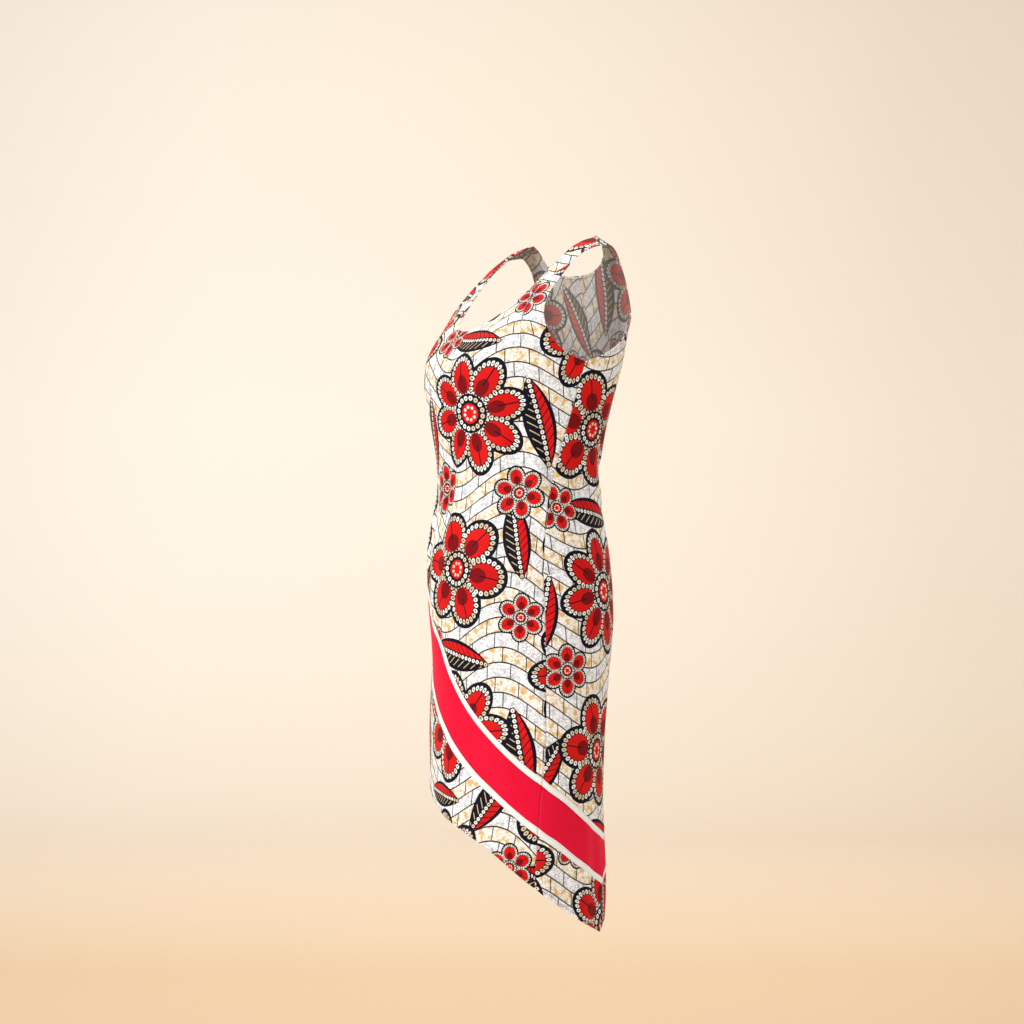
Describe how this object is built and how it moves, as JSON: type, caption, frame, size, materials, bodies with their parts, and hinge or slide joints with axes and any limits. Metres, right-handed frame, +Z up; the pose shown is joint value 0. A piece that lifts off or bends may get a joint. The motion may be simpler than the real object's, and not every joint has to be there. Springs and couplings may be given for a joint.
{
  "type": "sleeveless dress",
  "caption": "Knee-length sleeveless shift dress in wax print cotton with a scooped neck, a slanting white-edged red band and a hem that slants down to the back.",
  "frame": {"origin": "midway between the shoulder seams, on their ridge, where the wearer's shoulders hold the dress", "axes": "+Z up; -Y the way the front faces; +X towards the wearer's left"},
  "size_m": [0.3467, 0.2874, 1.05],
  "materials": {
    "wax_print": "matt",
    "red_band": "matt",
    "white_strip": "matt"
  },
  "bodies": {
    "root": {"front_panel": "wax_print", "front_band_white_upper": "white_strip", "front_band_red": "red_band", "front_band_white_lower": "white_strip", "front_hem_panel": "wax_print", "back_left_panel": "wax_print", "back_left_band_white_upper": "white_strip", "back_left_band_red": "red_band", "back_left_band_white_lower": "white_strip", "back_left_hem_panel": "wax_print", "back_right_panel": "wax_print", "back_right_band_white_upper": "white_strip", "back_right_band_red": "red_band", "back_right_band_white_lower": "white_strip", "back_right_hem_panel": "wax_print"}
  },
  "joints": []
}
